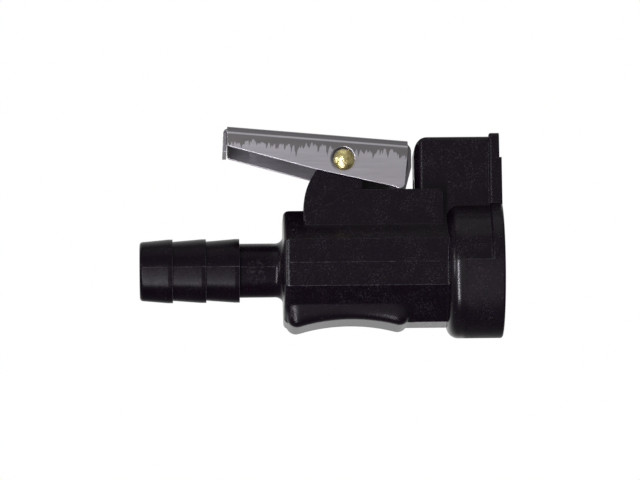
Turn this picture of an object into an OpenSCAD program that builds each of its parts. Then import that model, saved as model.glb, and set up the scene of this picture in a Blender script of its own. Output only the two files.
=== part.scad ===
// Quick connector for an outboard fuel hose: the female half, with a spring-loaded latch lever.
// X runs along the fuel line and out of the mouth, and Z points up, to the lever's side.
// The origin is on the fuel axis, where the fuel socket opens into the recess of the mouth.

/* [Hose barb] */
// Diameter of the plain neck, which is the bore of the hose
neck_d = 9.5; // [9.2:0.1:9.8]
// Diameter over the barbs
barb_d = 11.2; // [11:0.1:11.6]
// Diameter at the foot of each barb
barb_root_d = 10.4; // [10.2:0.1:10.6]
// Distance from one barb to the next
barb_pitch = 5.85; // [5.6:0.05:6]
// Flat land on top of each barb
barb_land = 0.8; // [0.5:0.1:1]
// Fuel passage through the barb
barb_bore_d = 6.4; // [6:0.1:7]

/* [Body] */
// Length from the tip of the barb to the rim of the mouth
body_l = 63.6; // [63:0.1:66]
// Trunk across its flats
trunk_w = 19.8; // [19.6:0.1:20]
// Length from the left end of the trunk to the rim
trunk_l = 38.45; // [38.2:0.05:38.6]
// Outside diameter of the cup
cup_d = 24.5; // [24.2:0.1:24.8]
// Length of the cup
cup_l = 9.85; // [9.7:0.05:10]
// Diameter of the round recess in the mouth
recess_d = 20.8; // [20.2:0.1:21]
// Depth of the recess in the mouth
recess_depth = 8; // [7.8:0.1:8.2]
// Width of the hood
hood_w = 10.4; // [10.2:0.1:10.6]
// Height of the hood's roof above the fuel axis
hood_z = 22.8; // [22.6:0.05:23]
// Length of the hood
hood_l = 15.3; // [15.2:0.1:15.4]
// Width of the deck that the lever comes down on
deck_w = 14; // [13.8:0.1:14.4]
// Height of the deck above the fuel axis
deck_z = 13.2; // [13.1:0.05:13.3]
// Width of the post that carries the rivet
post_w = 12.4; // [12:0.1:12.6]
// Width of the finger grip
grip_w = 13.4; // [13:0.1:13.8]

/* [Socket and valve] */
// Bore for the mating fuel prong
socket_d = 8.3; // [8.2:0.05:8.4]
// Bore for the mating locating prong
locating_d = 5.2; // [5.1:0.05:5.3]
// Height of the locating bore above the fuel axis
locating_z = 13.4; // [13.3:0.05:13.5]
// Valve travel
valve_travel = 2.2; // [1.5:0.1:2.2]
// Wire of the valve spring
valve_wire_d = 0.6; // [0.5:0.05:0.6]

/* [Latch] */
// Thickness of the lever's sheet
sheet = 0.7; // [0.65:0.05:0.75]
// Width over the lever's two flanges
lever_w = 14.8; // [14.6:0.1:15]
// Distance of the pivot behind the rim
pivot_back = 27.75; // [27.7:0.05:27.85]
// Height of the pivot above the fuel axis
pivot_z = 18.5; // [18.4:0.1:18.6]
// Shank of the rivet
rivet_d = 2.6; // [2.4:0.1:2.8]
// Head of the rivet
rivet_head_d = 3.8; // [3.6:0.1:4]
// Wire of the lever spring
lever_wire_d = 0.6; // [0.5:0.05:0.6]

/* [Hidden] */
$fn = 96;
eps = 0.01;

black_plastic = [0.07, 0.065, 0.07];
stainless = [0.52, 0.51, 0.52];
brass = [0.78, 0.68, 0.33];
rubber = [0.04, 0.04, 0.045];
acetal = [0.86, 0.85, 0.8];
spring_steel = [0.62, 0.62, 0.64];

// A place given as a distance behind the rim of the mouth
function behind(d) = recess_depth - d;

tip_x = behind(body_l);
trunk_x = behind(trunk_l);
rim_x = behind(0);
first_step_back = 57.8;
trunk_corner_r = trunk_w / 2 / cos(22.5);
post_right_x = behind(24.6);
saddle_r = 31.7;
saddle_x = behind(26.8);
saddle_z = -9.4;

// Fuel passage, from the mouth to the tail
retainer_r = 7;
retainer_l = 2.4;
gland_l = 2.2;
seat_r = 6.4;
seat_x = -retainer_l;
seat_l = 8.6;
socket_land_x = seat_x - gland_l;
socket_end_x = socket_land_x - 2;
throat_x = socket_end_x - 2.3;
throat_r = 2.5;
seat_end_x = seat_x - seat_l;
seat_groove_r = 5.3;
seat_groove_w = 1.4;
seat_groove_x = socket_end_x - 0.4;
chamber_r = 5.9;
guide_l = 2;
outlet_r = 4.6;
outlet_l = 4;
seat_gap = 0.03;

// Poppet
washer_t = 1;
washer_r = 3.8;
head_r = 3.9;
head_t = 1.2;
nose_r = 1.3;
stem_r = 1.5;
stem_clearance = 0.06;
washer_x = seat_end_x - seat_gap;
head_x = washer_x - washer_t;
poppet_spring_r = 2.7;
poppet_spring_turns = 5;
spring_spare = 0.57;
guide_x = head_x - head_t - (poppet_spring_turns + 1) * valve_wire_d - valve_travel - spring_spare;

// Latch
pivot_x = behind(pivot_back);
hole_clearance = 0.06;
deck_gap = 0.1;
roof_slope = 5.2;
roof_left_x = behind(48.1);
roof_left_z = 24.63;
roof_right_x = behind(15.8);
bend_r = 1.3;
flange_left_x = behind(48.05);
flange_right_x = behind(16.5);
tab_w = 8.8;
tab_bottom_z = 20.5;
blade_w = 8.6;
blade_bottom_z = locating_z + 0.2;
blade_notch_r = 1.9;
coined_r = 2.15;
coined_depth = 0.2;
lever_spring_r = 1.78;
lever_spring_turns = 6;

// Height of the roof's top surface above the fuel axis, and a point some way square below it
function roof_z(x) = roof_left_z - (x - roof_left_x) * tan(roof_slope);
function below_roof(x, depth) = [x, roof_z(x) - depth / cos(roof_slope)];

// ---------- helpers ----------

// Turns an outline about the fuel axis: its x is the radius and its y runs along X
module turned() {
    rotate([0, 90, 0]) rotate_extrude() children();
}

// A ring or disc about the fuel axis, from x0 to x1
module ring(x0, x1, outer_r, inner_r = 0) {
    turned() translate([inner_r, x0]) square([outer_r - inner_r, x1 - x0]);
}

// Extrudes an outline of Y and Z along X, from x0 to x1
module along_x(x0, x1) {
    translate([x0, 0, 0]) rotate([90, 0, 90]) linear_extrude(x1 - x0) children();
}

// Extrudes an outline of X and Z across Y, between -w/2 and w/2
module across_y(w) {
    rotate([90, 0, 0]) linear_extrude(w, center = true) children();
}

// A rectangle with round corners, between two opposite corners
module round_rect(low, high, r) {
    translate([low.x + r, low.y]) square([high.x - low.x - 2 * r, high.y - low.y]);
    translate([low.x, low.y + r]) square([high.x - low.x, high.y - low.y - 2 * r]);
    for (x = [low.x + r, high.x - r], y = [low.y + r, high.y - r])
        translate([x, y]) circle(r);
}

// Points along an arc
function arc(centre, r, from, to, steps = 8) = [
    for (i = [0 : steps])
        let (a = from + (to - from) * i / steps)
        centre + r * [cos(a), sin(a)]
];

// A round wire that follows a path. side is a direction that the path never runs along.
function unit(v) = v / norm(v);
module wire(path, d, side, sides = 8) {
    n = len(path);
    points = [
        for (i = [0 : n - 1])
            let (
                t = unit(path[min(i + 1, n - 1)] - path[max(i - 1, 0)]),
                u = unit(cross(t, side)),
                v = cross(t, u)
            )
            for (k = [0 : sides - 1])
                path[i] + d / 2 * (cos(360 * k / sides) * u + sin(360 * k / sides) * v)
    ];
    skin = [
        for (i = [0 : n - 2], k = [0 : sides - 1])
            let (a = i * sides, b = a + sides, m = (k + 1) % sides)
            [a + k, b + k, b + m, a + m]
    ];
    start_cap = [for (k = [0 : sides - 1]) k];
    end_cap = [for (k = [sides - 1 : -1 : 0]) (n - 1) * sides + k];
    polyhedron(points, concat([start_cap], skin, [end_cap]));
}

// ---------- body moulding ----------

module barb_outline() {
    foot_r = barb_root_d / 2;
    top_r = barb_d / 2;
    tip_r = 0.6;
    translate([0, tip_x + tip_r]) square([foot_r, body_l - trunk_l + 2]);
    translate([0, tip_x]) square([foot_r - tip_r, tip_r]);
    translate([foot_r - tip_r, tip_x + tip_r]) circle(tip_r);
    for (i = [0 : 2]) {
        step_x = behind(first_step_back - i * barb_pitch);
        polygon([
            [0, step_x - barb_pitch + eps],
            [foot_r, step_x - barb_pitch + (i == 0 ? tip_r : eps)],
            [top_r, step_x - barb_land],
            [top_r, step_x],
            [0, step_x],
        ]);
    }
}

module barb() {
    last_step_x = behind(first_step_back - 2 * barb_pitch);
    neck_fillet = 1.4;
    difference() {
        turned() barb_outline();
        ring(last_step_x, trunk_x + 3, barb_root_d, neck_d / 2);
    }
    turned() difference() {
        translate([neck_d / 2 - 1, trunk_x - neck_fillet])
            square([neck_fillet + 1, neck_fillet + 1]);
        translate([neck_d / 2 + neck_fillet, trunk_x - neck_fillet]) circle(neck_fillet);
    }
}

// The octagonal trunk. Its left end is rounded over in a few narrow bands.
module trunk() {
    edge_r = 1;
    bands = 4;
    for (i = [0 : bands - 1]) {
        low = 90 * i / bands;
        high = 90 * (i + 1) / bands;
        low_x = trunk_x + edge_r * (1 - cos(low));
        high_x = trunk_x + edge_r * (1 - cos(high));
        high_r = trunk_corner_r - edge_r * (1 - sin(high));
        translate([low_x, 0, 0]) rotate([0, 90, 0]) rotate(22.5) cylinder(
            h = high_x - low_x,
            r1 = trunk_corner_r - edge_r * (1 - sin(low)),
            r2 = high_r,
            $fn = 8
        );
        along_x(high_x, behind(1)) rotate(22.5) circle(high_r, $fn = 8);
    }
}

// The cup: a full round lower half, and an upper half that is set in behind a raised rim
module cup() {
    rear_x = behind(cup_l);
    edge_r = 2.1;
    set_in = 0.55;
    rim_w = 2.3;
    lip_r = 0.4;
    module shell(r, x0, rear_r) {
        turned() {
            translate([0, x0]) square([r - rear_r, rim_x - x0]);
            translate([0, x0 + rear_r]) square([r, rim_x - x0 - rear_r - lip_r]);
            translate([r - rear_r, x0 + rear_r]) circle(rear_r);
            translate([0, x0 + rear_r]) square([r - lip_r, rim_x - x0 - rear_r]);
            translate([r - lip_r, rim_x - lip_r]) circle(lip_r);
        }
    }
    shell(cup_d / 2 - set_in, rear_x, edge_r);
    shell(cup_d / 2, behind(rim_w), set_in);
    intersection() {
        shell(cup_d / 2, rear_x, edge_r);
        translate([rear_x - 1, -cup_d, -cup_d]) cube([cup_l + 2, 2 * cup_d, cup_d]);
    }
}

// The hood over the upper half of the mouth, with a raised lip
module hood() {
    rear_x = behind(hood_l);
    rear_r = 1.6;
    rear_top_r = 2.6;
    roof_r = 1.1;
    lip_w = 2.25;
    lip_h = 0.55;
    lip_z = 18.9;
    step = 0.4;
    module block(x0, w, top_z, r, top_r) {
        intersection() {
            along_x(x0, rim_x) round_rect([-w / 2, 0], [w / 2, top_z], roof_r);
            across_y(w + 2) round_rect([x0, -4], [rim_x + 4, top_z], top_r);
            translate([0, 0, 4]) linear_extrude(top_z)
                round_rect([x0, -w / 2], [rim_x + 4, w / 2], r);
        }
    }
    difference() {
        union() {
            block(rear_x, hood_w, hood_z, rear_r, rear_top_r);
            block(behind(lip_w), hood_w + 2 * lip_h, hood_z + lip_h, lip_h, lip_h);
        }
        translate([rim_x - step, -hood_w, lip_z]) cube([1, 2 * hood_w, hood_z]);
    }
}

// The deck, whose left end slopes down to the trunk
module deck() {
    corner_r = 0.8;
    left_x = behind(34.6);
    right_x = behind(10.5);
    slope_end_x = behind(25.3);
    slope_z = 8.8;
    across_y(deck_w) polygon(concat(
        [[left_x, 5], [left_x, slope_z], [slope_end_x, deck_z]],
        arc([right_x - corner_r, deck_z - corner_r], corner_r, 90, 0),
        [[right_x, 5]]
    ));
}

// The post for the rivet. Its left edge is a long arc, and its shoulder stops the lever.
module post() {
    left_x = behind(34.85);
    arc_r = 10.9;
    arc_z = 10;
    arc_end_z = 16.9;
    top_z = 21.5;
    shoulder_x = behind(30.3);
    top_right_x = behind(25.5);
    steps = 8;
    left_edge = [
        for (i = [0 : steps])
            let (z = arc_z + (arc_end_z - arc_z) * i / steps)
            [left_x + arc_r - sqrt(arc_r * arc_r - pow(z - arc_z, 2)), z]
    ];
    intersection() {
        across_y(post_w) polygon(concat(
            [[left_x, 5]],
            left_edge,
            [
                [shoulder_x - 0.55, top_z - 0.65], [shoulder_x, top_z - 0.12],
                [shoulder_x + 0.4, top_z], [top_right_x, top_z],
                [post_right_x, top_z - 2], [post_right_x, 5],
            ]
        ));
        along_x(behind(36), behind(20)) round_rect([-post_w / 2, 0], [post_w / 2, top_z], 0.7);
    }
}

// The saddle-shaped finger grip: a concave underside between two humps, rounded all over
module grip() {
    edge_r = 1.8;
    left = saddle_x - 9.4;
    right = saddle_x + 8.5;
    right_z = -8.5;
    top_z = -6.5;
    arc_r = saddle_r + edge_r;
    from = acos((left - saddle_x) / arc_r);
    to = acos((right - saddle_x) / arc_r);
    minkowski() {
        across_y(grip_w - 2 * edge_r) polygon(concat(
            arc([saddle_x, saddle_z - saddle_r], arc_r, from, to, 12),
            [[right, right_z], [right - edge_r, top_z], [left, top_z]]
        ));
        sphere(edge_r, $fn = 28);
    }
}

// The keyhole-shaped recess, with a cored pocket above the locating bore
module mouth_recess() {
    wall = 1.3;
    slot_w = hood_w - 2 * wall;
    top_z = hood_z - wall;
    pocket_low_z = locating_z + 4;
    pocket_back = 13.8;
    ring(0, rim_x + 1, recess_d / 2);
    along_x(0, rim_x + 1) round_rect([-slot_w / 2, -2], [slot_w / 2, top_z], 1.2);
    along_x(behind(pocket_back), rim_x)
        round_rect([-slot_w / 2, pocket_low_z], [slot_w / 2, top_z], 1.2);
}

// The stepped passage that holds the valve
module fuel_passage() {
    guide_end_x = guide_x - guide_l;
    ring(-retainer_l, 1, retainer_r);
    ring(seat_end_x, 0, seat_r);
    ring(guide_end_x, 0, chamber_r);
    ring(guide_end_x - outlet_l, 0, outlet_r);
    turned() polygon([
        [0, guide_end_x - outlet_l - 1.4], [barb_bore_d / 2, guide_end_x - outlet_l - 1.4],
        [outlet_r, guide_end_x - outlet_l], [0, guide_end_x - outlet_l],
    ]);
    ring(tip_x - 1, 0, barb_bore_d / 2);
}

// The trough that takes the end of the locating prong, below the lever's blade
module trough() {
    floor_z = 10.4;
    width = deck_w - 4.2;
    translate([post_right_x, -width / 2, floor_z])
        cube([behind(hood_l) - post_right_x, width, deck_z]);
}

// The slot in the post that holds the coil of the lever spring
module spring_slot() {
    left_x = behind(36);
    width = 5;
    floor_z = 15.3;
    translate([left_x, -width / 2, floor_z]) cube([post_right_x - left_x, width, pivot_z]);
}

module body_moulding() {
    color(black_plastic) difference() {
        union() {
            difference() {
                union() {
                    barb();
                    difference() {
                        trunk();
                        translate([saddle_x, 0, saddle_z - saddle_r]) rotate([90, 0, 0])
                            cylinder(r = saddle_r + 0.05, h = 2 * trunk_w, center = true);
                    }
                    deck();
                }
                trough();
            }
            grip();
            cup();
            hood();
            post();
        }
        mouth_recess();
        fuel_passage();
        translate([behind(hood_l) - 1, 0, locating_z])
            rotate([0, 90, 0]) cylinder(d = locating_d, h = hood_l - recess_depth + 2);
        translate([pivot_x, 0, pivot_z])
            rotate([90, 0, 0]) cylinder(d = rivet_d, h = post_w + 2, center = true);
        spring_slot();
    }
}

// ---------- socket and valve ----------

// Brass ring pressed into the floor of the recess, which holds the valve and the seal in
module socket_retainer() {
    chamfer = 0.3;
    color(brass) turned() polygon([
        [socket_d / 2, -retainer_l], [retainer_r, -retainer_l], [retainer_r, -chamfer],
        [retainer_r - chamfer, 0], [socket_d / 2 + chamfer, 0], [socket_d / 2, -chamfer],
    ]);
}

// O-ring that seals on the fuel prong, drawn as it lies round the prong
module socket_seal() {
    section_r = (seat_r - 0.5 - socket_d / 2) / 2;
    color(rubber) turned()
        translate([socket_d / 2 + section_r, seat_x - gland_l / 2]) circle(section_r);
}

// Brass insert with the gland for the seal, the end of the socket and the seat of the valve
module valve_seat() {
    gland_r = seat_r - 0.5;
    relief_r = 4.6;
    cone = 0.7;
    color(brass) difference() {
        ring(seat_end_x, seat_x, seat_r);
        ring(socket_land_x, 1, gland_r);
        ring(socket_end_x, 1, socket_d / 2);
        ring(throat_x, socket_end_x, relief_r);
        ring(seat_end_x - 1, throat_x + 1, throat_r);
        turned() polygon([
            [0, seat_end_x - 1], [throat_r + cone, seat_end_x - 1], [throat_r + cone, seat_end_x],
            [throat_r, seat_end_x + cone], [0, seat_end_x + cone],
        ]);
        ring(seat_groove_x - seat_groove_w, seat_groove_x, seat_r + 1, seat_groove_r);
    }
}

// O-ring between the insert and the body
module valve_seat_seal() {
    section_r = (seat_r - seat_groove_r) / 2;
    color(rubber) turned()
        translate([seat_groove_r + section_r, seat_groove_x - seat_groove_w / 2]) circle(section_r);
}

// Acetal poppet: a nose that the fuel prong pushes, a disc and a guide stem
module poppet() {
    nose_x = socket_end_x - 0.2;
    tail_x = guide_x - guide_l - 1.5;
    color(acetal) {
        ring(head_x, nose_x - 0.5, nose_r);
        ring(head_x, nose_x, nose_r - 0.5);
        turned() translate([nose_r - 0.5, nose_x - 0.5]) circle(0.5);
        ring(head_x - head_t, head_x, head_r);
        ring(tail_x, head_x - head_t, stem_r);
    }
}

// Rubber washer that closes on the seat
module poppet_washer() {
    color(rubber) ring(head_x, washer_x, washer_r, nose_r);
}

// Compression spring behind the poppet, with a closed turn at each end
module poppet_spring() {
    x0 = guide_x + valve_wire_d / 2;
    x1 = head_x - head_t - valve_wire_d / 2;
    per_turn = 16;
    live = poppet_spring_turns - 2;
    pitch = (x1 - x0 - 2 * valve_wire_d) / live;
    path = [
        for (i = [0 : poppet_spring_turns * per_turn])
            let (
                t = i / per_turn,
                x = x0 + valve_wire_d * (min(t, 1) + max(t - live - 1, 0))
                    + pitch * min(max(t - 1, 0), live)
            )
            [x, poppet_spring_r * cos(360 * t), poppet_spring_r * sin(360 * t)]
    ];
    color(spring_steel) wire(path, valve_wire_d, [1, 0, 0]);
}

// Acetal spider: it seats the spring, guides the stem and lets the fuel past
module spring_guide() {
    hub_r = 2.4;
    port_r = 1.2;
    ports = 6;
    color(acetal) difference() {
        union() {
            ring(guide_x - guide_l, guide_x, chamber_r);
            ring(guide_x - guide_l - 1, guide_x, hub_r);
        }
        ring(guide_x - guide_l - 2, guide_x + 1, stem_r + stem_clearance);
        for (i = [0 : ports - 1]) rotate([60 * i, 0, 0])
            translate([guide_x - guide_l - 0.5, 0, 4]) rotate([0, 90, 0])
                cylinder(r = port_r, h = guide_l + 1);
    }
}

// ---------- latch ----------

// Side outline of the flanges, up to the roof
module flange_outline() {
    left_r = 0.6;
    right_r = 0.9;
    edge_slope = 15.6;
    left_z = 21.1;
    right_x = behind(17.1);
    foot_z = deck_z + deck_gap;
    centre_x = flange_left_x + left_r;
    centre_z = left_z - left_r * tan(edge_slope) + left_r / cos(edge_slope);
    polygon(concat(
        [[flange_left_x, roof_z(flange_left_x)]],
        arc([centre_x, centre_z], left_r, 180, 270 - edge_slope),
        [[behind(32.5), 16.78], [behind(19.4), foot_z + 0.45], [behind(18.2), foot_z]],
        arc([right_x - right_r, foot_z + right_r], right_r, 270, 360),
        [[flange_right_x, 20], [flange_right_x, roof_z(flange_right_x)]]
    ));
}

// The point at height z on the straight line that leaves an arc at the angle a
function off_arc(centre, r, a, z) =
    let (p = centre + r * [cos(a), sin(a)])
    [p.x - (z - p.y) * tan(a), z];

// The roof, the thumb tab and the blade, as one bent strip seen from the side
module strip_outline() {
    tab_r = 0.9;
    blade_r = 1.6;
    knee_z = 17.5;
    lean = 1.05;
    tab_x = behind(48.75);
    blade_x = roof_right_x;
    tab_centre = below_roof(tab_x + tab_r, tab_r);
    blade_centre = below_roof(blade_x - blade_r, blade_r);
    up = 90 - roof_slope;
    out = 177;
    polygon(concat(
        [off_arc(tab_centre, tab_r, out, tab_bottom_z)],
        arc(tab_centre, tab_r, out, up),
        arc(blade_centre, blade_r, up, 0),
        [[blade_x, knee_z], [blade_x - lean, blade_bottom_z]],
        [[blade_x - lean - sheet, blade_bottom_z], [blade_x - sheet, knee_z]],
        arc(blade_centre, blade_r - sheet, 0, up),
        arc(tab_centre, tab_r - sheet, up, out),
        [off_arc(tab_centre, tab_r - sheet, out, tab_bottom_z)]
    ));
}

// The bent cross-section of the channel, seen along X, with its roof at Z = 0
module channel_section(height) {
    inner_w = lever_w - 2 * sheet;
    difference() {
        round_rect([-lever_w / 2, -height], [lever_w / 2, 0], bend_r);
        round_rect([-inner_w / 2, -height - 5], [inner_w / 2, -sheet], bend_r - sheet);
    }
}

module latch_lever() {
    reach = 30;
    flange_h = 16;
    coined_offset = 0.13;
    color(stainless) difference() {
        union() {
            intersection() {
                translate([roof_left_x, 0, roof_left_z]) rotate([0, roof_slope, 0])
                    along_x(-reach, 2 * reach) channel_section(flange_h);
                across_y(lever_w + 2) flange_outline();
            }
            intersection() {
                across_y(tab_w) strip_outline();
                union() {
                    translate([pivot_x - reach, -tab_w / 2, 0]) cube([reach, tab_w, reach]);
                    translate([pivot_x, -blade_w / 2, 0]) cube([reach, blade_w, reach]);
                }
            }
        }
        translate([pivot_x, 0, pivot_z]) rotate([90, 0, 0])
            cylinder(r = rivet_d / 2 + hole_clearance, h = lever_w + 2, center = true);
        for (side = [-1, 1])
            translate([
                pivot_x - coined_offset, side * (lever_w / 2 - coined_depth), pivot_z + coined_offset
            ])
                rotate([-90 * side, 0, 0]) cylinder(r = coined_r, h = 1);
        translate([pivot_x, 0, locating_z]) rotate([0, 90, 0])
            cylinder(r = blade_notch_r, h = reach);
    }
}

// Brass rivet: the shank, and a domed head set down in the coined dimple of each flange
module pivot_rivet() {
    head_h = 0.9;
    gap = 0.08;
    face = lever_w / 2 - coined_depth + gap;
    head_r = rivet_head_d / 2;
    dome_r = (head_r * head_r + head_h * head_h) / (2 * head_h);
    color(brass) translate([pivot_x, 0, pivot_z]) {
        rotate([90, 0, 0]) cylinder(d = rivet_d, h = 2 * face + 0.2, center = true);
        for (side = [-1, 1]) intersection() {
            translate([0, side * (face + head_h - dome_r), 0]) sphere(dome_r);
            rotate([-90 * side, 0, 0]) translate([0, 0, face]) cylinder(r = head_r, h = head_h + 1);
        }
    }
}

// Torsion spring round the rivet: one arm on the floor of the slot, one under the lever's roof
module lever_spring() {
    arm_l = 13.5;
    foot_l = 4.2;
    foot_slope = 15;
    arm_slope = 11.2;
    pitch = 0.66;
    per_turn = 16;
    start = 270 + foot_slope;
    turn = 360 * lever_spring_turns + 90 - arm_slope - (start - 360);
    steps = ceil(turn / 360 * per_turn);
    width = pitch * turn / 360;
    function on_coil(a, y) =
        [pivot_x + lever_spring_r * cos(a), y, pivot_z + lever_spring_r * sin(a)];
    coil = [
        for (i = [0 : steps]) on_coil(start + turn * i / steps, width * (i / steps - 0.5))
    ];
    foot = coil[0] - foot_l * [cos(foot_slope), 0, sin(foot_slope)];
    tip = coil[steps] + arm_l * [-cos(arm_slope), 0, sin(arm_slope)];
    color(spring_steel) wire(concat([foot], coil, [tip]), lever_wire_d, [0, 1, 0]);
}

body_moulding();
socket_retainer();
socket_seal();
valve_seat();
valve_seat_seal();
poppet();
poppet_washer();
poppet_spring();
spring_guide();
latch_lever();
pivot_rivet();
lever_spring();
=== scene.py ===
"""Looks of the fuel hose quick connector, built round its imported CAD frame.

Everything is in metres and in the frame of the CAD model: X runs out of the mouth along the fuel
line, Z points up to the lever's side, and the origin is where the fuel socket opens into the recess.
"""

import math

import bpy
from mathutils import Matrix, Vector, noise


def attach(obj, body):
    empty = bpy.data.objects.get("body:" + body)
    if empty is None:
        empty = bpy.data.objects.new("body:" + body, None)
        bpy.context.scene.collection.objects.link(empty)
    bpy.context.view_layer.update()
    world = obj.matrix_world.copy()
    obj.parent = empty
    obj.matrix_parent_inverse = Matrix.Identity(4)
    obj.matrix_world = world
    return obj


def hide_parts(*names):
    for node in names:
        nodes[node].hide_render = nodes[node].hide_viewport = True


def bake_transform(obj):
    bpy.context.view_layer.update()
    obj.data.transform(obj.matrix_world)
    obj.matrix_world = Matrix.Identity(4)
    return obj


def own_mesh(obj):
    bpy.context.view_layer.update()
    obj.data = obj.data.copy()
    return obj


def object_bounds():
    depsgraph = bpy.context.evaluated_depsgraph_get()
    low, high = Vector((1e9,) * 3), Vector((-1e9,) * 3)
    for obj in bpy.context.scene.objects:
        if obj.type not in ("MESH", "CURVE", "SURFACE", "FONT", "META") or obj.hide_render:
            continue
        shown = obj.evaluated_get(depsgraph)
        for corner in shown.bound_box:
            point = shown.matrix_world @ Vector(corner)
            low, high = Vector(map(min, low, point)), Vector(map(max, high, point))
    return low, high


MM = 0.001

# Places on the CAD model that the looks go by, in mm and degrees.
PIVOT_X, PIVOT_Z = -19.75, 18.5  # the lever's rivet
ROOF_SLOPE = 5.2  # how far the lever's roof falls towards the mouth
ROOF_HEIGHT = 20.894  # from the origin to the roof, square to it
RIVET_HEAD_R = 1.9
BARB_STEPS = (-49.8, -43.95, -38.1)  # where each barb's land ends
BARB_R, BARB_FOOT_R, NECK_R = 5.6, 5.2, 4.75

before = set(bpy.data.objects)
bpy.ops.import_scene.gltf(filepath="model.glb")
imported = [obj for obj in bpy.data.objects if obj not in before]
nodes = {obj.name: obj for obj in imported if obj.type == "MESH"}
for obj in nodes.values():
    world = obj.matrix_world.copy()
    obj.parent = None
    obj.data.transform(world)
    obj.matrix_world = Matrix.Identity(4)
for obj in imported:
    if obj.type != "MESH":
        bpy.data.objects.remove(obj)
cad_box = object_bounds()
scene = bpy.context.scene


# ---------- procedural materials ----------


class Finish:
    """A material with one Principled shader, and short ways to add nodes in front of it."""

    def __init__(self, name, **constants):
        self.material = bpy.data.materials.new(name)
        self.material.use_nodes = True
        self.tree = self.material.node_tree
        self.shader = self.tree.nodes["Principled BSDF"]
        self.place = self.add("ShaderNodeTexCoord").outputs["Object"]
        self.rounded = None
        for key, value in constants.items():
            self.shader.inputs[key.replace("_", " ")].default_value = value

    def add(self, kind, inputs=None, **settings):
        node = self.tree.nodes.new(kind)
        for key, value in settings.items():
            setattr(node, key, value)
        for key, value in (inputs or {}).items():
            if isinstance(value, bpy.types.NodeSocket):
                self.tree.links.new(value, node.inputs[key])
            else:
                node.inputs[key].default_value = value
        return node

    def scaled(self, x, y, z, turn=0.0):
        """Object coordinates stretched along each axis, and turned about Y first."""
        turned = self.add(
            "ShaderNodeMapping",
            {"Vector": self.place, "Rotation": (0, math.radians(turn), 0), "Scale": (x, y, z)},
        )
        return turned.outputs["Vector"]

    def noise(self, size, vector=None, detail=2.0, rough=0.5, warp=0.0):
        """Noise from 0 to 1 whose patches are about size metres across."""
        return self.add(
            "ShaderNodeTexNoise",
            {
                "Vector": vector or self.place,
                "Scale": 1 / size,
                "Detail": detail,
                "Roughness": rough,
                "Distortion": warp,
            },
        ).outputs["Fac"]

    def specks(self, size, vector=None):
        """Distance to scattered points that are about size metres apart."""
        return self.add(
            "ShaderNodeTexVoronoi", {"Vector": vector or self.place, "Scale": 1 / size}
        ).outputs["Distance"]

    def remap(self, value, low, high, to_low=0.0, to_high=1.0, smooth=False):
        return self.add(
            "ShaderNodeMapRange",
            {
                "Value": value,
                "From Min": low,
                "From Max": high,
                "To Min": to_low,
                "To Max": to_high,
            },
            interpolation_type="SMOOTHSTEP" if smooth else "LINEAR",
        ).outputs["Result"]

    def maths(self, operation, a, b=0.0, c=0.0):
        node = self.add("ShaderNodeMath", operation=operation)
        for i, value in enumerate((a, b, c)):
            if isinstance(value, bpy.types.NodeSocket):
                self.tree.links.new(value, node.inputs[i])
            else:
                node.inputs[i].default_value = value
        return node.outputs["Value"]

    def times(self, first, *others):
        for other in others:
            first = self.maths("MULTIPLY", first, other)
        return first

    def plus(self, a, b):
        return self.maths("ADD", a, b)

    def minus(self, a, b):
        return self.maths("SUBTRACT", a, b)

    def mix_value(self, share, a, b):
        """Value a, going over to value b as share goes from 0 to 1."""
        return self.plus(self.times(a, self.minus(1.0, share)), self.times(share, b))

    def axis(self, name, vector=None):
        split = self.add("ShaderNodeSeparateXYZ", {"Vector": vector or self.place})
        return split.outputs[name]

    def past(self, name, start, full):
        """A mask that goes from 0 to 1 as X, Y or Z goes from start to full, in mm."""
        return self.remap(self.axis(name), start * MM, full * MM)

    def mix(self, share, a, b):
        """Colour a, going over to colour b as share goes from 0 to 1."""
        node = self.add("ShaderNodeMix", {"Factor": share}, data_type="RGBA")
        for socket, value in ((node.inputs[6], a), (node.inputs[7], b)):
            if isinstance(value, bpy.types.NodeSocket):
                self.tree.links.new(value, socket)
            else:
                socket.default_value = (*value, 1)
        return node.outputs[2]

    def round_edges(self, radius):
        """Makes edges catch the light as if they were rounded, and returns a mask of them."""
        bevel = self.add("ShaderNodeBevel", {"Radius": radius}, samples=8)
        self.rounded = bevel.outputs["Normal"]
        flat = self.add("ShaderNodeNewGeometry").outputs["Normal"]
        alike = self.add(
            "ShaderNodeVectorMath", {0: self.rounded, 1: flat}, operation="DOT_PRODUCT"
        ).outputs["Value"]
        return self.remap(alike, 1.0, 0.95, smooth=True)

    def bump(self, *layers):
        """Each layer is a height from 0 to 1 and its depth in metres."""
        normal = self.rounded
        for height, depth in layers:
            inputs = {"Height": height, "Strength": 1.0, "Distance": depth}
            if normal is not None:
                inputs["Normal"] = normal
            normal = self.add("ShaderNodeBump", inputs).outputs["Normal"]
        self.tree.links.new(normal, self.shader.inputs["Normal"])

    def set(self, key, value):
        self.tree.links.new(value, self.shader.inputs[key])


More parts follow.
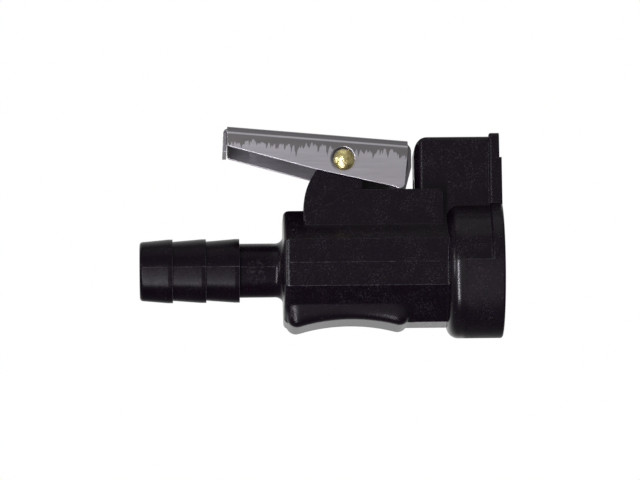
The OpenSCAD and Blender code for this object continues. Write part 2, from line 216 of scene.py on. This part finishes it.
def black_plastic():
    """Grained moulding, rubbed pale at its edges and dusty, with a smooth grip and a smooth cup fillet.
    The pale edges are partly painted highlights, made stronger along the lower edges.
    """
    f = Finish("moulded_black_plastic")
    grip = f.times(f.past("Z", -6.6, -7.2), f.past("X", -7.2, -8.0))
    fillet = f.times(f.past("X", -2.3, -1.9), f.past("X", 1.2, 0.6), f.past("Z", 1.0, -0.5))
    polished = f.maths("MAXIMUM", grip, fillet)
    plain = f.minus(1.0, polished)
    hose_end = f.past("X", -31.6, -33.0)
    cup_wall = f.times(f.past("X", 0.4, 1.6), f.past("Z", 0.4, -0.2))
    edge = f.round_edges(f.remap(grip, 0, 1, 0.2 * MM, 1.8 * MM))

    cloud = f.noise(9 * MM, detail=3)
    grain = f.noise(0.24 * MM, detail=3, rough=0.6)
    coarse = f.noise(0.9 * MM, detail=2)
    patchy = f.noise(0.5 * MM, detail=4, rough=0.7)
    base = f.mix(cloud, (0.0042, 0.0017, 0.0047), (0.0058, 0.0028, 0.0064))

    scuffed = f.remap(f.noise(3.2 * MM, detail=3), 0.42, 0.62)
    speckle = f.times(
        f.remap(grain, 0.52, 0.68),
        f.plus(f.times(scuffed, 0.8), 0.2),
        f.remap(polished, 0, 1, 1.0, 0.25),
        f.remap(hose_end, 0, 1, 1.0, 0.4),
    )
    base = f.mix(speckle, base, (0.030, 0.024, 0.032))

    smudge_x = -35.2  # middle of the smudge on the neck
    from_smudge = f.maths("ABSOLUTE", f.minus(f.axis("X"), smudge_x * MM))
    handled = f.times(
        f.remap(from_smudge, 2.4 * MM, 0.6 * MM),
        f.remap(patchy, 0.5, 0.64),
        f.past("Z", -3.2, -1.6),
        f.past("Z", 1.8, 0.6),
    )
    base = f.mix(f.times(handled, 0.5), base, (0.06, 0.052, 0.062))

    dust = f.times(
        f.remap(f.specks(0.6 * MM), 0.16, 0.05), f.remap(f.noise(2.6 * MM), 0.52, 0.66)
    )
    base = f.mix(f.times(dust, 0.6), base, (0.13, 0.12, 0.13))

    # Pale edges: partly real rubbing and partly painted highlights, made stronger towards the lower
    # edges.
    rubbed = f.times(f.plus(0.12, f.times(f.past("Z", 4, -1), 0.55)), plain)
    worn_and_edge_highlight = f.times(edge, rubbed, f.remap(patchy, 0.34, 0.64))
    f.set("Base Color", f.mix(f.times(worn_and_edge_highlight, 0.85), base, (0.16, 0.14, 0.17)))

    rough = f.remap(f.plus(f.times(grain, 0.6), f.times(coarse, 0.4)), 0.3, 0.7, 0.15, 0.28)
    rough = f.plus(rough, f.plus(f.times(cup_wall, 0.2), f.times(hose_end, 0.06)))
    f.set("Roughness", f.mix_value(polished, rough, 0.24))
    shine = f.plus(f.times(fillet, 0.3), f.times(grip, 0.1))
    f.set("Specular IOR Level", f.minus(f.plus(0.2, shine), f.times(hose_end, 0.1)))
    texture = f.times(grain, plain, f.plus(f.times(cup_wall, 3.0), 1.0))
    f.bump((texture, 0.0028 * MM), (f.times(coarse, plain), 0.006 * MM))
    return f.material


def parting_plastic():
    """The thin seam left by the mould, rubbed pale along its top."""
    f = Finish("rubbed_mould_seam", Specular_IOR_Level=0.2)
    rubbed = f.remap(f.noise(2.2 * MM, detail=4, rough=0.7), 0.47, 0.66)
    f.set("Base Color", f.mix(rubbed, (0.005, 0.003, 0.006), (0.085, 0.075, 0.09)))
    f.set("Roughness", f.remap(rubbed, 0, 1, 0.35, 0.55))
    return f.material


def stainless():
    """Dull sheet with a darker band that runs down from the bends to a ragged fringe. It has a painted
    dark reflection along the bends, painted shade on the inner faces, a painted shadow round the rivet,
    and a paler line along the foot of the bends.
    """
    f = Finish("stamped_stainless", Metallic=1.0)
    edge = f.round_edges(0.12 * MM)
    slope = math.radians(ROOF_SLOPE)
    along = f.minus(
        f.times(f.axis("X"), math.cos(slope)), f.times(f.axis("Z"), math.sin(slope))
    )
    height = f.plus(
        f.times(f.axis("X"), math.sin(slope)), f.times(f.axis("Z"), math.cos(slope))
    )
    depth = f.minus(ROOF_HEIGHT * MM, height)
    outside = f.remap(f.maths("ABSOLUTE", f.axis("Y")), 6.95 * MM, 7.1 * MM)
    inner_painted_shade = f.minus(1.0, outside)

    line = f.add("ShaderNodeCombineXYZ", {"X": along, "Y": f.axis("Y")}).outputs["Vector"]
    broad = f.remap(f.noise(4.5 * MM, line, detail=1), 0.35, 0.65, -0.3 * MM, 1.0 * MM)
    teeth = f.maths("POWER", f.remap(f.noise(0.75 * MM, line, detail=2, rough=0.7), 0.4, 0.75), 1.6)
    reach = f.plus(f.plus(2.1 * MM, broad), f.times(teeth, 2.2 * MM))
    # A darker band below the bends on the outer faces, ending in a ragged fringe.
    darkening = f.times(
        f.remap(f.minus(reach, depth), -0.06 * MM, 0.10 * MM),
        outside,
        f.remap(depth, 1.18 * MM, 1.42 * MM),
    )
    # Painted dark reflection: the roof's bends are painted darker.
    bend_painted_shade = f.remap(depth, 1.1 * MM, 0.85 * MM)
    # A paler line painted along the foot of the bends.
    ridge = f.times(
        f.remap(depth, 0.98 * MM, 1.10 * MM), f.remap(depth, 1.38 * MM, 1.2 * MM), outside
    )

    # Painted shadow: a dark ring round the rivet's head, heaviest at its upper left.
    right = f.minus(f.axis("X"), PIVOT_X * MM)
    up = f.minus(f.axis("Z"), PIVOT_Z * MM)
    away = f.maths("SQRT", f.plus(f.times(right, right), f.times(up, up)))
    ring = f.remap(away, (RIVET_HEAD_R + 0.6) * MM, (RIVET_HEAD_R + 0.15) * MM, smooth=True)
    upper_left = f.remap(f.minus(up, right), -1.5 * MM, 2.6 * MM)
    painted_rivet_shadow = f.times(ring, f.plus(f.times(upper_left, 0.75), 0.15))

    brushed = f.noise(0.45 * MM, f.scaled(0.05, 1, 1, ROOF_SLOPE), detail=4, rough=0.65)
    cloud = f.noise(5 * MM, detail=3)
    base = f.mix(brushed, (0.435, 0.42, 0.44), (0.475, 0.46, 0.48))
    # Painted shade: the inner faces of the flanges are painted darker.
    base = f.mix(inner_painted_shade, base, (0.21, 0.2, 0.212))
    base = f.mix(f.times(cloud, 0.5), base, (0.45, 0.43, 0.46))
    base = f.mix(f.times(darkening, 0.9), base, (0.175, 0.167, 0.163))
    base = f.mix(f.times(bend_painted_shade, 0.85), base, (0.17, 0.16, 0.175))
    base = f.mix(f.times(ridge, 0.85), base, (0.72, 0.7, 0.73))
    # Painted shadow round the rivet's head.
    base = f.mix(painted_rivet_shadow, base, (0.03, 0.028, 0.04))
    f.set("Base Color", f.mix(f.times(edge, 0.45), base, (0.93, 0.92, 0.94)))
    f.set("Roughness", f.remap(brushed, 0.3, 0.7, 0.34, 0.42))
    f.bump((brushed, 0.002 * MM), (cloud, 0.008 * MM))
    return f.material


def rivet_brass():
    """Bright brass, a little crumpled where the head was closed."""
    f = Finish("rivet_brass", Metallic=1.0)
    f.round_edges(0.12 * MM)
    upset = f.noise(0.7 * MM, detail=2, warp=1.6)
    darkening = f.remap(f.noise(0.9 * MM, detail=3, warp=0.8), 0.5, 0.66)
    f.set("Base Color", f.mix(f.times(darkening, 0.65), (0.90, 0.78, 0.36), (0.36, 0.26, 0.08)))
    f.set("Roughness", f.remap(upset, 0.3, 0.7, 0.22, 0.36))
    f.bump((upset, 0.07 * MM))
    return f.material


def turned_brass():
    f = Finish("turned_brass", Metallic=1.0)
    radius = f.add(
        "ShaderNodeVectorMath", {0: f.scaled(0, 1, 1)}, operation="LENGTH"
    ).outputs["Value"]
    rings = f.add("ShaderNodeCombineXYZ", {"X": radius}).outputs["Vector"]
    tool = f.noise(0.09 * MM, rings, detail=3)
    darkening = f.noise(2.2 * MM, detail=4)
    f.set("Base Color", f.mix(f.remap(darkening, 0.45, 0.75), (0.78, 0.62, 0.28), (0.5, 0.36, 0.15)))
    f.set("Roughness", f.remap(tool, 0.3, 0.7, 0.2, 0.34))
    f.bump((tool, 0.01 * MM))
    return f.material


def rubber():
    f = Finish("seal_rubber", Specular_IOR_Level=0.4)
    grain = f.noise(0.15 * MM, detail=3)
    bloom = f.noise(1.5 * MM, detail=3)
    f.set("Base Color", f.mix(f.remap(bloom, 0.5, 0.8), (0.012, 0.012, 0.013), (0.04, 0.04, 0.042)))
    f.set("Roughness", f.remap(bloom, 0.3, 0.7, 0.45, 0.65))
    f.bump((grain, 0.01 * MM))
    return f.material


def acetal():
    f = Finish("moulded_acetal", Specular_IOR_Level=0.5, Subsurface_Weight=0.15)
    grain = f.noise(0.3 * MM, detail=2)
    cloud = f.noise(3 * MM, detail=3)
    f.set("Base Color", f.mix(cloud, (0.74, 0.72, 0.66), (0.82, 0.81, 0.77)))
    f.set("Roughness", f.remap(cloud, 0.3, 0.7, 0.32, 0.45))
    f.bump((grain, 0.006 * MM))
    return f.material


def spring_steel():
    f = Finish("spring_steel", Metallic=1.0)
    drawn = f.noise(0.2 * MM, detail=4)
    oil = f.noise(2 * MM, detail=3)
    f.set("Base Color", f.mix(f.remap(oil, 0.4, 0.7), (0.5, 0.5, 0.52), (0.3, 0.29, 0.29)))
    f.set("Roughness", f.remap(drawn, 0.3, 0.7, 0.25, 0.4))
    f.bump((drawn, 0.004 * MM))
    return f.material


def coat(obj, material):
    obj.data.materials.clear()
    obj.data.materials.append(material)


plastic = black_plastic()
brass = turned_brass()
seal = rubber()
white = acetal()
steel = spring_steel()
finishes = {
    "body_moulding": plastic,
    "latch_lever": stainless(),
    "pivot_rivet": rivet_brass(),
    "socket_retainer": brass,
    "valve_seat": brass,
    "socket_seal": seal,
    "valve_seat_seal": seal,
    "poppet_washer": seal,
    "poppet": white,
    "spring_guide": white,
    "poppet_spring": steel,
    "lever_spring": steel,
}
for name, material in finishes.items():
    coat(nodes[name], material)


# ---------- pieces drawn here ----------


def tube(name, path, radius, sides=14):
    """A round wire with flat ends that follows the points of path."""
    path = [Vector(point) * MM for point in path]
    count = len(path)
    points, faces = [], []
    side = None
    for i, centre in enumerate(path):
        along = (path[min(i + 1, count - 1)] - path[max(i - 1, 0)]).normalized()
        side = side or along.orthogonal()
        side = (side - along * side.dot(along)).normalized()
        up = along.cross(side)
        for k in range(sides):
            turn = math.tau * k / sides
            points.append(centre + (side * math.cos(turn) + up * math.sin(turn)) * radius * MM)
    for i in range(count - 1):
        for k in range(sides):
            a, b = i * sides, (i + 1) * sides
            m = (k + 1) % sides
            faces.append((a + k, a + m, b + m, b + k))
    faces.append(tuple(range(sides - 1, -1, -1)))
    faces.append(tuple((count - 1) * sides + k for k in range(sides)))
    return solid(name, points, faces, smooth=len(faces) - 2)


def solid(name, points, faces, smooth=0):
    """A mesh object. Its first faces, as many as smooth says, are shaded smooth."""
    mesh = bpy.data.meshes.new(name)
    mesh.from_pydata(points, [], faces)
    mesh.polygons.foreach_set("use_smooth", [i < smooth for i in range(len(faces))])
    obj = bpy.data.objects.new(name, mesh)
    scene.collection.objects.link(obj)
    return obj


def lever_spring():
    """The torsion spring round the rivet. Its long arm bends away from the coil."""
    pivot = Vector((PIVOT_X, 0, PIVOT_Z))
    coil_r, pitch, wire_r, foot_l, arm_l = 1.78, 0.66, 0.3, 4.2, 13.5
    foot_slope, arm_slope = math.radians(15), math.radians(11.2)
    start = math.radians(270) + foot_slope
    end = math.tau * 7 + math.radians(90) - arm_slope
    steps, foot_steps, arm_steps = 220, 6, 30
    width = pitch * (end - start) / math.tau
    path = []
    for i in range(steps + 1):
        turn = start + (end - start) * i / steps
        y = width * (i / steps - 0.5)
        path.append(pivot + Vector((coil_r * math.cos(turn), y, coil_r * math.sin(turn))))
    foot = Vector((-math.cos(foot_slope), 0, -math.sin(foot_slope)))
    arm = Vector((-math.cos(arm_slope), 0, math.sin(arm_slope)))
    first, last = path[0], path[-1]
    path = [first + foot * foot_l * i / foot_steps for i in range(foot_steps, 0, -1)] + path
    path += [last + arm * arm_l * i / arm_steps for i in range(1, arm_steps + 1)]
    obj = tube("lever_spring_wire", path, wire_r)
    coat(obj, steel)
    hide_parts("lever_spring")
    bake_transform(obj)


def poppet_spring():
    """The valve's spring, coiled on its guide up to the poppet's head and carried with the body."""
    guide_x, head_x, wire_d, coil_r = -19.6, -13.23, 0.6, 2.7
    turns, per_turn = 5, 36
    live = turns - 2
    low, high = guide_x + wire_d / 2, head_x - wire_d / 2
    pitch = (high - low - 2 * wire_d) / live
    path = []
    for i in range(turns * per_turn + 1):
        t = i / per_turn
        closed = min(t, 1) + max(t - live - 1, 0)
        x = low + wire_d * closed + pitch * min(max(t - 1, 0), live)
        path.append((x, coil_r * math.cos(math.tau * t), coil_r * math.sin(math.tau * t)))
    obj = tube("poppet_spring_wire", path, wire_d / 2)
    coat(obj, steel)
    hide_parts("poppet_spring")
    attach(obj, "connector_body")
    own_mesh(obj)


def seam(name, outline, side, seed, top):
    """The line the mould left along the body: a low ridge that fades in and out.
    outline gives X and the distance from the fuel axis, and top is the ridge's full height."""
    spacing, half_width, sunk, least = 0.25, 0.045, 0.05, 0.08
    stations = []
    for (x0, r0), (x1, r1) in zip(outline, outline[1:]):
        count = max(2, int(math.hypot(x1 - x0, r1 - r0) / spacing))
        stations += [(x0 + (x1 - x0) * i / count, r0 + (r1 - r0) * i / count) for i in range(count)]
    stations.append(outline[-1])
    points, faces = [], []
    for x, r in stations:
        slow, fast = Vector((x * 0.5, seed, 0)), Vector((x * 2, seed, 5))
        level = noise.noise(slow) + 0.5 * noise.noise(fast)
        height = top * min(max(level * 1.8 + 0.45, least), 1)
        for out, z in ((-sunk, 0), (0, -half_width), (height, 0), (0, half_width)):
            points.append(Vector((x, side * (r + out), z)) * MM)
    for i in range(len(stations) - 1):
        a, b = 4 * i, 4 * i + 4
        for k in range(4):
            m = (k + 1) % 4
            ring = (a + k, a + m, b + m, b + k)
            faces.append(ring if side > 0 else ring[::-1])
    cap, end = (3, 2, 1, 0), tuple(len(points) - 4 + k for k in range(4))
    faces += [cap, end] if side > 0 else [cap[::-1], end[::-1]]
    obj = solid(name, points, faces)
    coat(obj, parting)
    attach(obj, "connector_body")


parting = parting_plastic()
lever_spring()
poppet_spring()
barb_line = [(-55.0, BARB_FOOT_R)]
for step_x in BARB_STEPS:
    barb_line += [(step_x - 0.8, BARB_R), (step_x, BARB_R), (step_x + 0.02, BARB_FOOT_R)]
barb_line.pop()
neck_line = [(-38.0, NECK_R), (-31.9, NECK_R)]
trunk_line = [(-29.4, 9.9), (-2.0, 9.9)]
for side, sign in (("near", -1), ("far", 1)):
    seam(f"barb_seam_{side}", barb_line, sign, 1.3, 0.018)
    seam(f"neck_seam_{side}", neck_line, sign, 4.1, 0.018)
    seam(f"trunk_seam_{side}", trunk_line, sign, 7.7, 0.032)


# ---------- floor, light and camera ----------


def floor():
    size, gap = 1.2, 0.02 * MM
    z = cad_box[0].z - gap
    mesh = bpy.data.meshes.new("floor")
    corners = [(-size, -size, z), (size, -size, z), (size, size, z), (-size, size, z)]
    mesh.from_pydata(corners, [], [(0, 1, 2, 3)])
    obj = bpy.data.objects.new("floor", mesh)
    scene.collection.objects.link(obj)
    f = Finish("pale_floor", Roughness=0.9, Specular_IOR_Level=0.0)
    mottle = f.noise(40 * MM, detail=3)
    f.set("Base Color", f.mix(mottle, (0.84, 0.84, 0.84), (0.88, 0.88, 0.88)))
    f.shader.inputs["Emission Color"].default_value = (1, 1, 1, 1)
    f.shader.inputs["Emission Strength"].default_value = 0.32
    clear = f.add("ShaderNodeBsdfTransparent").outputs["BSDF"]
    under = f.add("ShaderNodeNewGeometry").outputs["Backfacing"]
    seen = f.add("ShaderNodeLightPath").outputs["Is Camera Ray"]
    shown = f.times(f.minus(1.0, under), seen)
    mixed = f.add("ShaderNodeMixShader", {0: shown, 1: clear, 2: f.shader.outputs["BSDF"]})
    out = f.tree.nodes["Material Output"]
    f.tree.links.new(mixed.outputs["Shader"], out.inputs["Surface"])
    coat(obj, f.material)


def surroundings():
    """White where the camera looks. As light it is white behind, grey in front and dark below."""
    world = bpy.data.worlds.new("studio")
    scene.world = world
    world.use_nodes = True
    tree = world.node_tree

    def add(kind, inputs=None, **settings):
        node = tree.nodes.new(kind)
        for key, value in settings.items():
            setattr(node, key, value)
        for key, value in (inputs or {}).items():
            if isinstance(value, bpy.types.NodeSocket):
                tree.links.new(value, node.inputs[key])
            else:
                node.inputs[key].default_value = value
        return node

    way = add("ShaderNodeTexCoord").outputs["Generated"]
    parts = add("ShaderNodeSeparateXYZ", {"Vector": way}).outputs

    def ramp(value, low, high, to_low, to_high):
        inputs = {"Value": value, "From Min": low, "From Max": high, "To Min": to_low, "To Max": to_high}
        return add("ShaderNodeMapRange", inputs, interpolation_type="SMOOTHSTEP").outputs["Result"]

    height = ramp(parts["Z"], -0.7, 0.0, 0.055, 0.22)
    front = ramp(parts["Y"], -0.3, -0.95, 0.0, 0.14)
    behind = ramp(parts["Y"], 0.05, 0.6, 0.0, 0.7)
    fade = ramp(parts["Z"], -0.7, 0.1, 0.08, 1.0)
    behind = add("ShaderNodeMath", {0: behind, 1: fade}, operation="MULTIPLY").outputs["Value"]
    glow = add("ShaderNodeMath", {0: height, 1: behind}, operation="ADD").outputs["Value"]
    glow = add("ShaderNodeMath", {0: glow, 1: front}, operation="ADD").outputs["Value"]
    seen = add("ShaderNodeLightPath").outputs["Is Camera Ray"]
    level = ramp(seen, 0, 1, glow, 1.0)
    background = tree.nodes["Background"].inputs
    tree.links.new(level, background["Strength"])
    background["Color"].default_value = (1, 1, 1, 1)


def soft_light(name, turn, height, size, power, tint=(1, 1, 1)):
    """A rectangular lamp aimed at the object. turn is its bearing, clockwise seen from above, from
    the camera's side, and height is its angle above the object, both in degrees."""
    data = bpy.data.lights.new(name, "AREA")
    data.shape = "RECTANGLE"
    data.size, data.size_y = size
    data.energy = power
    data.color = tint
    obj = bpy.data.objects.new(name, data)
    scene.collection.objects.link(obj)
    middle, distance = Vector((-24, 0, 5)) * MM, 0.6
    turn, height = math.radians(turn), math.radians(height)
    out = Vector(
        (-math.sin(turn) * math.cos(height), -math.cos(turn) * math.cos(height), math.sin(height))
    )
    obj.location = middle + out * distance
    obj.rotation_euler = (-out).to_track_quat("-Z", "Y").to_euler()
    obj.visible_camera = False


def camera():
    """A long lens, a little below the object and a little to the left of square on."""
    look_at = Vector((-23.88, 0, 5.33)) * MM
    distance = 0.85
    below, left, roll = (math.radians(angle) for angle in (8.36, 1.54, 0.75))
    ahead = Vector(
        (math.sin(left) * math.cos(below), math.cos(left) * math.cos(below), math.sin(below))
    )
    level = Vector((math.cos(left), -math.sin(left), 0))
    upright = level.cross(ahead)
    right = level * math.cos(roll) - upright * math.sin(roll)
    up = level * math.sin(roll) + upright * math.cos(roll)
    data = bpy.data.cameras.new("camera")
    data.sensor_width = 36
    data.lens = 271.96
    data.clip_start = 0.01
    obj = bpy.data.objects.new("camera", data)
    scene.collection.objects.link(obj)
    turn = Matrix((right, up, -ahead)).transposed()
    obj.matrix_world = Matrix.Translation(look_at - ahead * distance) @ turn.to_4x4()
    scene.camera = obj


scene.view_settings.view_transform = "Standard"
floor()
surroundings()
soft_light("top", 10, 70, (0.5, 0.4), 0.3)
soft_light("low_front", 22, -26, (0.036, 0.8), 3.7, tint=(0.98, 0.95, 1.04))
soft_light("left", 60, 5, (0.1, 0.3), 0.4)
camera()
